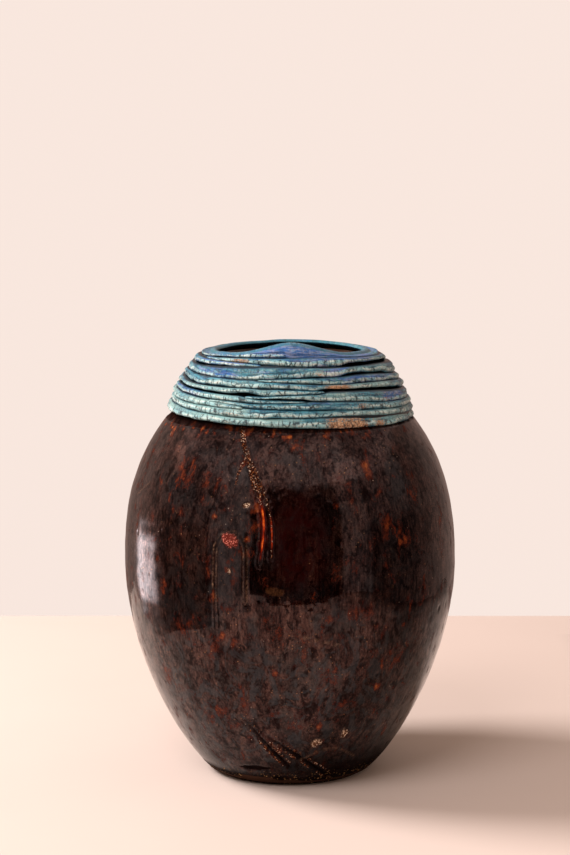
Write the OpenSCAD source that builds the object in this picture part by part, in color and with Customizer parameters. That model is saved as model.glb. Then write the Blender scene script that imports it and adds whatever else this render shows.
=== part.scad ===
// Stoneware vase: a wheel-thrown, full-bellied body with a short plain neck,
// hidden behind a collar of hand-rolled clay strips laid one on another.
// Origin: centre of the foot, on the table. +Z up, -Y towards the viewer.

/* [Body] */
// Radius of the flat foot
foot_r = 43.7; // [36:0.1:52]
// Radius of the belly at its widest
belly_r = 92.2; // [84:0.1:100]
// Height of the widest part of the belly
belly_z = 116.8; // [100:0.1:130]
// Height at which the collar begins
collar_z = 198.5; // [190:0.5:210]
// Thickness of the thrown wall
wall = 5.5; // [5:0.1:8]
// Thickness of the floor
floor_t = 8; // [6:0.5:11]
// Radius of the rounded edge under the foot
foot_edge_r = 1.6; // [1:0.1:2.4]

/* [Neck] */
// Inner radius of the mouth
mouth_r = 40; // [37:0.5:42]
// Outer radius of the thrown neck behind the collar
neck_r = 46; // [45:0.5:47.5]

/* [Collar] */
// Outer radius of the lowest strip
collar_r = 68.6; // [68.4:0.1:70]
// Radius of the rolled edge on each strip
bead_r = 2.1; // [1.6:0.1:2.4]
// Depth of the crevice between two strips, behind the rolled edge
crevice = 1.2; // [0.6:0.1:2]
// Mean height of the rim above the bottom of the collar
rim_h = 38; // [37:0.5:39]
// Rise of the hump at the front of the rim
hump_h = 6; // [3:0.5:8]

/* [Hidden] */
STRIP_NODES = [
    "collar_strip_01", "collar_strip_02", "collar_strip_03", "collar_strip_04",
    "collar_strip_05", "collar_strip_06", "collar_strip_07", "collar_strip_08",
    "collar_strip_09", "collar_strip_10", "collar_strip_11", "collar_strip_12"
];

// The strips, lowest first: first azimuth, last azimuth and thickness. Azimuths
// run in degrees from the front towards the right. A strip that spans a full
// turn is a closed ring, and any other thins out to nothing at both ends.
STRIPS = [
    [0, 360, 4.5], [0, 360, 3.5], [160, 345, 4], [-50, 230, 4],
    [165, 375, 3], [-30, 225, 5], [180, 385, 4], [0, 360, 3.5],
    [-25, 225, 4], [0, 360, 5], [130, 350, 3.5], [-75, 225, 4]
];
STRIP_COLOURS = ["#9db5ab", "#7fa8a4", "#5f8f95", "#8fa9a0"];

ring_step = 7.5;
seam_gap = 0.2;
fit_gap = 0.15;
thinnest = 0.4;
full_turn = 360;
// A strip that dies out stops this many degrees short of nothing
tip_angle = 7.5;
// How bluntly a strip thins out, and how much its thickness wavers round the neck
tip_power = 0.6;
waver = 0.22;
waver_turns = 3;
waver_shift = 137;

// The collar narrows upwards along a shallow curve.
collar_lean = 0.15;
collar_curl = 0.0122;
// The shoulder aims at this circle, which the collar hides
shoulder_r = 59.7;
shoulder_z = collar_z + 9.2;
// Seat of the lowest strip on the shoulder, then the slope up to the neck
seat_r = 66.8;
seat_z = collar_z - 0.1;
seat_top_r = 64;
seat_top_z = collar_z + 5;
neck_foot_z = collar_z + 11.5;
neck_top_z = collar_z + 34.3;

body_steps = 26;
inner_steps = 22;
edge_steps = 4;
bead_steps = 6;

// Outline of the thrown body below and above the belly
function lower_r(z) =
    foot_r + (belly_r - foot_r) * pow(1 - pow((belly_z - z) / belly_z, 1.76), 0.82);
function upper_r(z) =
    shoulder_r + (belly_r - shoulder_r)
    * pow(1 - pow((z - belly_z) / (shoulder_z - belly_z), 2.5), 0.91);
function inner_lower_r(z) =
    foot_r - wall + (belly_r - foot_r)
    * pow(1 - pow((belly_z - z) / (belly_z - floor_t), 1.76), 0.82);
function inner_upper_r(z) =
    mouth_r + (belly_r - wall - mouth_r)
    * pow(1 - pow((z - belly_z) / (neck_foot_z - 4 - belly_z), 3), 0.7);

// Heights from low to high, closer together at the low end
function spread(low, high, steps, i) = low + (high - low) * pow(i / steps, 1.5);

// Radius of the body under the collar at height z
function under_r(z) =
    z < seat_top_z
    ? seat_r + (seat_top_r - seat_r) * (z - seat_z) / (seat_top_z - seat_z)
    : z < neck_foot_z
    ? seat_top_r + (neck_r - seat_top_r) * (z - seat_top_z) / (neck_foot_z - seat_top_z)
    : neck_r;

// Outer radius of the collar at height h above collar_z
function collar_radius(h) =
    let (up = max(h - 1.5, 0)) collar_r - collar_lean * up - collar_curl * up * up;

// Height above collar_z of the collar's lower edge: low at the front and right
function collar_foot(azimuth) = 2.2 - 2.2 * sin(azimuth) - 0.8 * cos(azimuth);

// Heights above collar_z of the rim strip's underside and of its top
function rim_seat(azimuth) = 35.3 + 0.8 * cos(2 * azimuth);
function rim_top(azimuth) =
    rim_h + 0.5 * cos(2 * azimuth) + hump_h * pow(max(cos(azimuth), 0), 10);

// Thickness of strip k at an azimuth, before the strips are fitted to the collar
function thickness(k, azimuth) =
    let (
        strip = STRIPS[k],
        turn = strip[1] - strip[0],
        past = (((azimuth - strip[0]) % full_turn) + full_turn) % full_turn,
        ends = turn == full_turn ? 1 : past < turn ? pow(sin(180 * past / turn), tip_power) : 0
    )
    strip[2] * ends * (1 + waver * sin(waver_turns * azimuth + waver_shift * k));
function stacked(k, azimuth) =
    k == 0 ? 0 : stacked(k - 1, azimuth) + thickness(k - 1, azimuth);

// Height above collar_z of the seam under strip k
function seam(k, azimuth) =
    let (low = collar_foot(azimuth), high = rim_seat(azimuth))
    low + (high - low) * stacked(k, azimuth) / stacked(len(STRIPS), azimuth);

// Cross-section of strip k as [radius, height]: a flat ribbon reaching in to
// the neck, with a rolled bead on its outer edge
function strip_section(k, azimuth) =
    let (
        low = seam(k, azimuth) + seam_gap / 2,
        high = max(seam(k + 1, azimuth) - seam_gap / 2, low + thinnest),
        inner = under_r(collar_z + low) + fit_gap,
        outer = collar_radius(low + 1),
        bead = min(bead_r, (high - low) / 2, 0.8 * (outer - inner)),
        neckline = outer - bead - min(crevice, (outer - bead - inner) / 2)
    )
    concat(
        [[inner, low]],
        [for (i = [0 : bead_steps]) let (a = -90 + 165 * i / bead_steps)
            [outer - bead + bead * cos(a), low + bead + bead * sin(a)]],
        [[neckline, high], [inner, high]]
    );

// Cross-section of the rim: a rolled bead below, a sloping band above it and
// a rounded lip that caps the neck
rim_bead_r = 1.4;
lip_t = 5;
lip_round = 1.2;
function rim_section(azimuth) =
    let (
        low = max(seam(12, azimuth), neck_top_z - collar_z) + seam_gap / 2,
        high = rim_top(azimuth),
        outer = collar_radius(low + rim_bead_r),
        lip = max(collar_radius(high), mouth_r + lip_t)
    )
    concat(
        [[mouth_r, low]],
        [for (i = [0 : bead_steps]) let (a = -90 + 140 * i / bead_steps)
            [outer - rim_bead_r + rim_bead_r * cos(a), low + rim_bead_r + rim_bead_r * sin(a)]],
        [[lip, high - lip_round], [lip - lip_round, high],
            [mouth_r + lip_round, high], [mouth_r, high - lip_round]]
    );

// A section stood up at its azimuth, counted from the front towards +X
function stood(section, azimuth) =
    [for (p = section) [p[0] * sin(azimuth), -p[0] * cos(azimuth), collar_z + p[1]]];

// Skin over a run of equal sections; a run that closes on itself has no ends
module skin(sections, closed) {
    sides = len(sections[0]);
    count = len(sections);
    runs = closed ? count : count - 1;
    walls = [
        for (i = [0 : runs - 1], j = [0 : sides - 1])
            let (
                a = i * sides + j,
                b = i * sides + (j + 1) % sides,
                c = ((i + 1) % count) * sides + (j + 1) % sides,
                d = ((i + 1) % count) * sides + j
            )
            each [[a, b, c], [a, c, d]]
    ];
    ends = closed ? [] : [
        [for (j = [sides - 1 : -1 : 0]) j],
        [for (j = [0 : sides - 1]) (count - 1) * sides + j]
    ];
    polyhedron(points = [for (s = sections) each s], faces = concat(walls, ends));
}

function azimuths(first, last) =
    last - first == full_turn
    ? [for (a = [first : ring_step : last - ring_step]) a]
    : concat(
        [first],
        [for (i = [ceil((first + 1) / ring_step) : floor((last - 1) / ring_step)]) i * ring_step],
        [last]
    );

module body() {
    top_z = neck_top_z;
    seat_start = collar_z - 0.5;
    outline = concat(
        [[0, 0]],
        [for (i = [0 : edge_steps]) let (a = -90 + 70 * i / edge_steps)
            [foot_r - foot_edge_r + foot_edge_r * cos(a), foot_edge_r * (1 + sin(a))]],
        [for (i = [1 : body_steps]) let (z = spread(foot_edge_r, belly_z, body_steps, i))
            [lower_r(z), z]],
        [for (i = [1 : body_steps]) let (z = belly_z + (seat_start - belly_z) * i / body_steps)
            [upper_r(z), z]],
        [[seat_r, seat_z], [seat_top_r, seat_top_z], [neck_r, neck_foot_z]],
        [[neck_r, top_z], [mouth_r, top_z]],
        [for (i = [0 : inner_steps - 1])
            let (z = neck_foot_z - 4 - (neck_foot_z - 4 - belly_z) * pow(i / inner_steps, 1.6))
            [inner_upper_r(z), z]],
        [for (i = [inner_steps : -1 : 0]) let (z = spread(floor_t, belly_z, inner_steps, i))
            [inner_lower_r(z), z]],
        [[0, floor_t]]
    );
    color("#33241f") rotate_extrude($fn = 180) polygon(outline);
}

module collar_strip(k) {
    closed = STRIPS[k][1] - STRIPS[k][0] == full_turn;
    short = closed ? 0 : tip_angle;
    sections = [
        for (a = azimuths(STRIPS[k][0] + short, STRIPS[k][1] - short))
            stood(strip_section(k, a), a)
    ];
    color(STRIP_COLOURS[k % len(STRIP_COLOURS)])
        skin(sections, closed);
}

module rim_strip() {
    sections = [for (a = azimuths(0, full_turn)) stood(rim_section(a), a)];
    color("#4a6f8f") skin(sections, true);
}

body();
for (k = [0 : len(STRIP_NODES) - 1])
    collar_strip(k);
rim_strip();
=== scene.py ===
"""Looks of the stoneware vase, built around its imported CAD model.

The body and each strip of the collar are rebuilt as finer meshes on the CAD
nodes' own outlines, and glazed with procedural materials. Angles are azimuths
in degrees, counted from the front (-Y) towards +X. Lengths in the modelling
code are millimetres, and become metres when a mesh is made.
"""

import math

import bmesh
import bpy
import numpy as np
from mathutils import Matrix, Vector
from mathutils.bvhtree import BVHTree


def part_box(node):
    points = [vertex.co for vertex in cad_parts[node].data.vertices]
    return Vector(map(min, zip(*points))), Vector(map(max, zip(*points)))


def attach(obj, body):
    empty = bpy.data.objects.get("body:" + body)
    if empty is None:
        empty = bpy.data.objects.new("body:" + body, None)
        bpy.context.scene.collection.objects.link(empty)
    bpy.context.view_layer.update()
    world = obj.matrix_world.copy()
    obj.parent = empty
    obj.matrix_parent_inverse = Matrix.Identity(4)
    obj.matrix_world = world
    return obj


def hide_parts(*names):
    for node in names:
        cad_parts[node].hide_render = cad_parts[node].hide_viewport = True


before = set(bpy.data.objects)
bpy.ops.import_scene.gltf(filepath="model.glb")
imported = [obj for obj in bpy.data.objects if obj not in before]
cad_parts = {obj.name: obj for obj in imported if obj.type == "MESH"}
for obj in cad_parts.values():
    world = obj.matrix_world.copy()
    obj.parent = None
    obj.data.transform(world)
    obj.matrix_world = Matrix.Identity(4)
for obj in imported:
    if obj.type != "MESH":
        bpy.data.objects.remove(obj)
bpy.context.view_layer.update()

MM = 0.001
STRIPS = [f"collar_strip_{number:02d}" for number in range(1, 13)]
STRIP_STEP = 0.4
BODY_COARSENESS = 1.0
# Radii at which noise is laid round the body and round the strips
WALL_MM = 80
RING_MM = 60


# ---------------------------------------------------------------- small tools

def ease(low, high, value):
    """0 at low, 1 at high and smooth between them."""
    t = np.clip((value - low) / (high - low), 0, 1)
    return t * t * (3 - 2 * t)


def noise(u, v, seed, wrap=0):
    """Smooth noise from -1 to 1, with a bump for each unit of u and v. It repeats after wrap units of u."""
    values = np.random.default_rng(seed).uniform(-1, 1, 4096)
    cell_u, cell_v = np.floor(u).astype(np.int64), np.floor(v).astype(np.int64)
    part_u, part_v = ease(0, 1, u - cell_u), ease(0, 1, v - cell_v)

    def at(i, j):
        i = i % wrap if wrap else i
        return values[(i * 73856093 ^ j * 19349663) % len(values)]

    low = at(cell_u, cell_v) * (1 - part_u) + at(cell_u + 1, cell_v) * part_u
    high = at(cell_u, cell_v + 1) * (1 - part_u) + at(cell_u + 1, cell_v + 1) * part_u
    return low * (1 - part_v) + high * part_v


def around(azimuth, height, size, seed, squash=1.0):
    """Noise over a round wall, with bumps about size mm wide and squash times as tall. It has no seam."""
    turns = max(3, round(2 * math.pi * WALL_MM / size))
    return noise(azimuth / 360 * turns, height / (size * squash), seed, wrap=turns)


def ring_noise(azimuth, size, row, seed):
    """Noise round a strip, with bumps about size mm long. It has no seam, and changes with the row."""
    turns = max(3, round(2 * math.pi * RING_MM / size))
    return noise(azimuth / 360 * turns, row, seed, wrap=turns)


def wrapped(azimuth):
    """The same azimuth from -180 to 180."""
    return (azimuth + 180) % 360 - 180


def smooth_line(points, steps=5):
    """Points along a Catmull-Rom curve through the given ones."""
    p = np.array([points[0], *points, points[-1]], float)
    t = np.linspace(0, 1, steps, endpoint=False)[:, None]
    pieces = [
        b + 0.5 * t * (c - a + t * (2 * a - 5 * b + 4 * c - d + t * (3 * (b - c) + d - a)))
        for a, b, c, d in zip(p[:-3], p[1:-2], p[2:-1], p[3:])
    ]
    return np.vstack([*pieces, p[-2:-1]])


def make_object(name, points, faces, attributes, material):
    """A smooth-shaded mesh object from points in mm, with float or vector attributes on its points."""
    mesh = bpy.data.meshes.new(name)
    mesh.from_pydata((points * MM).tolist(), [], faces)
    for key, values in attributes.items():
        if values.ndim == 2:
            layer = mesh.attributes.new(key, "FLOAT_VECTOR", "POINT")
            layer.data.foreach_set("vector", values.astype(np.float32).ravel())
        else:
            layer = mesh.attributes.new(key, "FLOAT", "POINT")
            layer.data.foreach_set("value", values.astype(np.float32))
    tidy = bmesh.new()
    tidy.from_mesh(mesh)
    bmesh.ops.recalc_face_normals(tidy, faces=tidy.faces)
    tidy.to_mesh(mesh)
    tidy.free()
    mesh.polygons.foreach_set("use_smooth", np.ones(len(mesh.polygons), bool))
    mesh.materials.append(material)
    made = bpy.data.objects.new(name, mesh)
    bpy.context.scene.collection.objects.link(made)
    return made


def place(azimuth, radius, height):
    """Points in mm from azimuth, radius and height."""
    angle = np.radians(azimuth)
    return np.stack([radius * np.sin(angle), -radius * np.cos(angle), height + 0 * angle], -1)


def cad_points(name):
    """Azimuth, radius and height of a CAD node's points."""
    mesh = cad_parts[name].data
    co = np.empty(len(mesh.vertices) * 3, np.float32)
    mesh.vertices.foreach_get("co", co)
    x, y, z = co.reshape(-1, 3).T.astype(float) / MM
    return np.degrees(np.arctan2(x, -y)) % 360, np.hypot(x, y), z


# ---------------------------------------------------------------- node helpers

class Tree:
    """A node tree that is built a step at a time. A value given to an input is a socket or a constant."""

    def __init__(self, tree):
        self.tree = tree
        tree.nodes.clear()

    def node(self, kind, inputs=None, **settings):
        made = self.tree.nodes.new("ShaderNode" + kind)
        for key, value in settings.items():
            setattr(made, key, value)
        self.fill(made, inputs or {})
        return made

    def put(self, socket, value):
        if isinstance(value, bpy.types.NodeSocket):
            self.tree.links.new(value, socket)
        else:
            socket.default_value = value

    def fill(self, node, values):
        for key, value in values.items():
            self.put(node.inputs[key], value)

    def math(self, operation, a, b=0.0):
        return self.node("Math", {0: a, 1: b}, operation=operation).outputs[0]

    def plus(self, a, b):
        return self.math("ADD", a, b)

    def minus(self, a, b):
        return self.math("SUBTRACT", a, b)

    def times(self, a, b):
        return self.math("MULTIPLY", a, b)

    def most(self, first, *others):
        for other in others:
            first = self.math("MAXIMUM", first, other)
        return first

    def ramp(self, value, low, high, to_low=0.0, to_high=1.0, smooth=False):
        kind = "SMOOTHSTEP" if smooth else "LINEAR"
        inputs = {0: value, 1: low, 2: high, 3: to_low, 4: to_high}
        return self.node("MapRange", inputs, interpolation_type=kind).outputs[0]

    def mix(self, factor, a, b, blend="MIX"):
        made = self.node("Mix", {0: factor, 6: a, 7: b}, data_type="RGBA", blend_type=blend)
        return made.outputs[2]

    def scaled(self, vector, scale):
        return self.node("VectorMath", {0: vector, 1: scale}, operation="MULTIPLY").outputs[0]

    def noise(self, vector, scale, detail=4.0, roughness=0.6, distortion=0.0):
        inputs = {"Vector": vector, "Scale": scale, "Detail": detail, "Roughness": roughness}
        inputs["Distortion"] = distortion
        return self.node("TexNoise", inputs).outputs[0]

    def cells(self, vector, scale, feature="F1"):
        inputs = {"Vector": vector, "Scale": scale}
        return self.node("TexVoronoi", inputs, feature=feature).outputs["Distance"]

    def attribute(self, name, output="Fac"):
        return self.node("Attribute", attribute_name=name).outputs[output]

    def bump(self, height, distance, strength=1.0):
        inputs = {"Height": height, "Distance": distance * MM, "Strength": strength}
        return self.node("Bump", inputs).outputs[0]


def new_glaze(name):
    """A material with one Principled shader, and its tree."""
    material = bpy.data.materials.new(name)
    material.use_nodes = True
    tree = Tree(material.node_tree)
    shader = tree.node("BsdfPrincipled")
    output = tree.node("OutputMaterial")
    tree.put(output.inputs["Surface"], shader.outputs[0])
    return material, tree, shader


def millimetres(tree):
    """The piece's own coordinates in millimetres."""
    coordinates = tree.node("TexCoord").outputs["Object"]
    return tree.scaled(coordinates, (1 / MM,) * 3)


# ---------------------------------------------------------------- glazes

# Colours of the body's glaze
OXBLOOD_BLACK = (0.004, 0.0006, 0.0005, 1)
BROWN = (0.028, 0.0072, 0.0050, 1)
IRON_LUSTRE = (0.086, 0.037, 0.027, 1)
IRON_GREY = (0.026, 0.022, 0.022, 1)
MURKY = (0.008, 0.0016, 0.0012, 1)
MATT_BLUE_GREY = (0.040, 0.033, 0.034, 1)
CLEAR_RED_BLACK = (0.026, 0.0009, 0.0009, 1)
CELL_BLUE_GREY = (0.026, 0.027, 0.031, 1)
CELL_EDGE = (0.005, 0.0025, 0.002, 1)
RUST_GLOW = (0.036, 0.0050, 0.0024, 1)
RUST_HEART = (0.125, 0.023, 0.007, 1)
RUST_BRIGHT = (0.34, 0.085, 0.016, 1)
SPECK_BROWN = (0.26, 0.12, 0.055, 1)
PAINTED_GLINT_BUFF = (0.45, 0.34, 0.27, 1)
FOOT_PAINTED_SHADE = (0.003, 0.001, 0.0008, 1)
FOOT_GOLD = (0.42, 0.24, 0.105, 1)
EMBER_DARK = (0.06, 0.002, 0.001, 1)
EMBER_RED = (0.50, 0.040, 0.005, 1)
EMBER_ORANGE = (0.85, 0.22, 0.03, 1)
CRUST_AMBER = (0.30, 0.085, 0.022, 1)
CRUST_PALE = (0.80, 0.62, 0.48, 1)
CRUST_DARK = (0.030, 0.008, 0.005, 1)
CUT_AND_PAINTED_SHADE_BLACK = (0.003, 0.001, 0.001, 1)
AMBER_DARK = (0.016, 0.005, 0.002, 1)
AMBER_LIGHT = (0.055, 0.022, 0.008, 1)
LINE_TAN = (0.17, 0.095, 0.060, 1)
SALMON = (0.56, 0.16, 0.12, 1)
SALMON_DARK = (0.12, 0.02, 0.014, 1)
BUFF = (0.74, 0.55, 0.40, 1)
BUFF_DARK = (0.09, 0.035, 0.018, 1)
INSIDE_BROWN = (0.040, 0.018, 0.011, 1)


BODY_MASKS = ("matt", "clear", "rust", "ember", "crust", "cut", "amber", "line", "salmon", "chip", "inside")


class BodyNoise:
    """The noises and mesh masks that the parts of the body's glaze share."""

    def __init__(self, t):
        self.where = millimetres(t)
        self.east, _, self.height = t.node("SeparateXYZ", {0: self.where}).outputs
        self.streaks = t.noise(t.scaled(self.where, (1, 1, 0.11)), 0.75, 6.0, 0.7)
        self.broad = t.noise(t.scaled(self.where, (1, 1, 0.4)), 0.085, 6.0, 0.62, 0.8)
        self.fine = t.noise(t.scaled(self.where, (1, 1, 0.6)), 1.1, 4.0, 0.75)
        self.murk = t.noise(t.scaled(self.where, (1, 1, 0.7)), 0.22, 7.0, 0.70, 0.6)
        self.grains = t.cells(self.where, 1.1)
        level = t.plus(t.times(self.streaks, 0.38), t.times(self.broad, 0.32))
        self.level = t.plus(level, t.times(self.fine, 0.30))
        for name in BODY_MASKS:
            setattr(self, name, t.attribute(name))


def glaze_ground(t, n):
    """Streaks and clouds of black, brown and lustre, matt and clear areas, and blue-grey cells low down."""
    colour = t.mix(t.ramp(n.level, 0.42, 0.49), OXBLOOD_BLACK, BROWN)
    colour = t.mix(t.ramp(n.level, 0.49, 0.58), colour, IRON_LUSTRE)
    tint = t.noise(n.where, 0.045, 5.0, 0.65, 0.5)
    colour = t.mix(t.ramp(tint, 0.50, 0.62, 0.0, 0.6), colour, IRON_GREY)
    colour = t.mix(t.ramp(n.murk, 0.51, 0.41), colour, MURKY)
    colour = t.mix(t.times(n.matt, t.ramp(n.broad, 0.40, 0.60, 0.15, 0.65)), colour, MATT_BLUE_GREY)
    colour = t.mix(t.times(n.clear, t.ramp(n.murk, 0.40, 0.58, 0.2, 0.8)), colour, CLEAR_RED_BLACK)

    swirl = t.noise(t.scaled(n.where, (1, 1, 0.65)), 0.075, 5.0, 0.6, 2.2)
    low_down = t.ramp(n.height, 125, 70, 0.15, 1.0)
    cell = t.times(t.ramp(swirl, 0.52, 0.57), low_down)
    colour = t.mix(t.times(cell, 0.75), colour, CELL_BLUE_GREY)
    edge = t.ramp(t.math("ABSOLUTE", t.minus(swirl, 0.52)), 0.016, 0.0)
    return t.mix(t.times(edge, t.times(low_down, 0.8)), colour, CELL_EDGE)


def glaze_rust(t, n, colour):
    """Rust patches, the marks placed on the mesh, and specks. Also gives the glow mask and the mask of the
    painted glints.
    """
    patches = t.noise(t.scaled(n.where, (1, 1, 0.6)), 0.13, 6.0, 0.68, 0.3)
    clouds = t.noise(n.where, 0.03, 4.0, 0.6, 1.0)
    rust = t.plus(t.times(patches, 0.82), t.times(n.fine, 0.18))
    rust = t.plus(rust, t.times(n.rust, 0.13))
    rust = t.minus(rust, t.times(n.clear, 0.16))
    rust = t.plus(rust, t.ramp(clouds, 0.35, 0.65, -0.02, 0.02))
    glow = t.ramp(rust, 0.53, 0.63, smooth=True)
    colour = t.mix(glow, colour, RUST_GLOW)
    colour = t.mix(t.ramp(rust, 0.58, 0.70, smooth=True), colour, RUST_HEART)
    colour = t.mix(t.ramp(rust, 0.66, 0.78, smooth=True), colour, RUST_BRIGHT)
    specks = t.times(t.ramp(t.cells(n.where, 0.35), 0.17, 0.05), t.ramp(n.broad, 0.48, 0.58))
    colour = t.mix(t.times(specks, 0.85), colour, SPECK_BROWN)
    # Painted glints: tiny buff dots that stand in for light glinting off pits and bumps.
    painted_glint = t.times(t.ramp(t.cells(n.where, 0.14), 0.055, 0.03), t.ramp(n.fine, 0.46, 0.56))
    return t.mix(t.times(painted_glint, 0.8), colour, PAINTED_GLINT_BUFF), glow, painted_glint


def glaze_foot(t, n, colour):
    """The foot: painted shade darkens it, most of all towards the right, with golden specks along its edge.
    """
    # Painted shade: black low down and more so towards the right, where the gloss is also taken away.
    shade = t.times(t.ramp(n.height, 38, 8, smooth=True), t.ramp(n.east, -25, 20, 0.3, 1.0))
    shade = t.most(shade, t.ramp(n.height, 11, 6))
    colour = t.mix(t.times(shade, 0.9), colour, FOOT_PAINTED_SHADE)
    gold = t.times(t.ramp(t.cells(n.where, 0.6), 0.36, 0.2), t.ramp(n.fine, 0.47, 0.55))
    gold = t.times(gold, t.ramp(t.plus(n.height, t.times(n.broad, 24)), 23, 17))
    return t.mix(gold, colour, FOOT_GOLD), shade, gold


def glaze_crack(t, n, colour):
    """Ember-red glass, pale and golden grains over it, and black cuts, whose mask also holds painted shadow
    and a painted dark reflection. Also gives the ember mask.
    """
    ember = t.times(n.ember, t.ramp(n.streaks, 0.3, 0.55, 0.45, 1.0))
    ember_colour = t.mix(t.ramp(ember, 0.25, 0.7), EMBER_DARK, EMBER_RED)
    ember_colour = t.mix(t.ramp(ember, 0.65, 0.95), ember_colour, EMBER_ORANGE)
    colour = t.mix(t.ramp(ember, 0.03, 0.3), colour, ember_colour)
    grain_tint = t.mix(t.ramp(n.fine, 0.50, 0.58), CRUST_AMBER, CRUST_PALE)
    crust_colour = t.mix(t.ramp(n.grains, 0.25, 0.50), grain_tint, CRUST_DARK)
    colour = t.mix(t.ramp(n.crust, 0.15, 0.55), colour, crust_colour)
    return t.mix(t.times(n.cut, 0.9), colour, CUT_AND_PAINTED_SHADE_BLACK), ember


def glaze_marks(t, n, colour):
    """The amber patch, fine pale lines, the blister, buff chips and the inside. Also gives the line mask."""
    colour = t.mix(t.times(n.amber, 0.8), colour, t.mix(t.ramp(n.fine, 0.4, 0.6), AMBER_DARK, AMBER_LIGHT))
    line = t.times(n.line, t.ramp(n.fine, 0.38, 0.54, 0.1, 1.3))
    colour = t.mix(line, colour, LINE_TAN)
    colour = t.mix(n.salmon, colour, t.mix(t.ramp(n.grains, 0.22, 0.5), SALMON, SALMON_DARK))
    colour = t.mix(n.chip, colour, t.mix(t.ramp(n.grains, 0.26, 0.60), BUFF, BUFF_DARK))
    return t.mix(n.inside, colour, INSIDE_BROWN), line


def body_glaze():
    """Near-black oxblood glaze with an iron lustre, rust and crusted scars.

    The lustre is metallic, so it shows only where something bright is mirrored.
    A thin clear coat lies over it.
    """
    material, t, shader = new_glaze("body_glaze")
    n = BodyNoise(t)
    colour = glaze_ground(t, n)
    colour, glow, painted_glint = glaze_rust(t, n, colour)
    colour, shade, gold = glaze_foot(t, n, colour)
    colour, ember = glaze_crack(t, n, colour)
    colour, line = glaze_marks(t, n, colour)

    dull = t.most(n.salmon, n.chip, t.ramp(n.crust, 0.12, 0.5), n.cut)
    plain = t.most(dull, t.ramp(ember, 0.03, 0.3), t.times(glow, 0.85))
    plain = t.most(plain, t.times(n.inside, 0.5), line, painted_glint, gold, n.amber)
    plain = t.most(plain, shade, t.times(n.clear, 0.45))
    roughness = t.plus(t.ramp(n.level, 0.36, 0.62, 0.07, 0.19), t.times(n.matt, 0.28))
    roughness = t.most(roughness, t.times(dull, 0.6))
    weight = t.times(t.ramp(n.level, 0.40, 0.58, 0.15, 0.62), t.ramp(n.murk, 0.38, 0.52, 0.35, 1.0))
    for mask, kept in ((dull, 0.1), (shade, 0.12), (n.clear, 0.4)):
        weight = t.times(weight, t.ramp(mask, 0.0, 1.0, 1.0, kept))
    relief = t.plus(t.times(n.streaks, 0.5), t.times(n.broad, 1.6))
    relief = t.plus(relief, t.times(t.times(n.grains, dull), -10.0))
    normal = t.bump(relief, 0.02)

    t.fill(shader, {
        "Base Color": colour, "Metallic": t.ramp(plain, 0.0, 1.0, 0.82, 0.0), "Roughness": roughness,
        "Normal": normal, "Coat Normal": normal, "Coat Weight": weight,
        "Coat Roughness": 0.03, "Coat IOR": 1.5, "Specular IOR Level": 0.0,
    })
    return material


# Colours of the collar's glaze
DEEP_TURQUOISE = (0.011, 0.080, 0.150, 1)
TURQUOISE = (0.075, 0.29, 0.375, 1)
PALE_TURQUOISE = (0.31, 0.49, 0.46, 1)
COBALT = (0.035, 0.13, 0.40, 1)
VIOLET = (0.24, 0.27, 0.46, 1)
LIP_TEAL = (0.045, 0.20, 0.25, 1)
EDGE_TEAL = (0.28, 0.53, 0.56, 1)
EDGE_CREAM = (0.68, 0.76, 0.70, 1)
PATCH_DARK = (0.05, 0.014, 0.006, 1)
PATCH_RUST = (0.50, 0.22, 0.09, 1)
PATCH_BUFF = (0.80, 0.60, 0.42, 1)
CRACKLE_DARK = (0.012, 0.022, 0.030, 1)
PORE_DARK = (0.02, 0.035, 0.04, 1)
# Painted shade, for the crevices and the undersides of the beads
PAINTED_SHADE_BLUE = (0.012, 0.045, 0.075, 1)
PAINTED_SHADE_BLACK = (0.003, 0.007, 0.011, 1)


def crackle_net(t, laid, where):
    """Short dark lines, mostly across the strip."""
    shift = t.node("TexNoise", {"Vector": laid, "Scale": 0.5}).outputs[1]
    bent = t.node("VectorMath", {0: laid, 1: shift}).outputs[0]
    net = t.cells(t.scaled(bent, (0.36, 0.36, 0.13)), 1.0, "DISTANCE_TO_EDGE")
    crackle = t.times(t.ramp(net, 0.085, 0.03), t.ramp(t.noise(where, 0.35, 2.0), 0.40, 0.52))
    return t.times(crackle, t.ramp(t.attribute("crest"), 0.1, 0.5, 0.35, 1.0))


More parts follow.
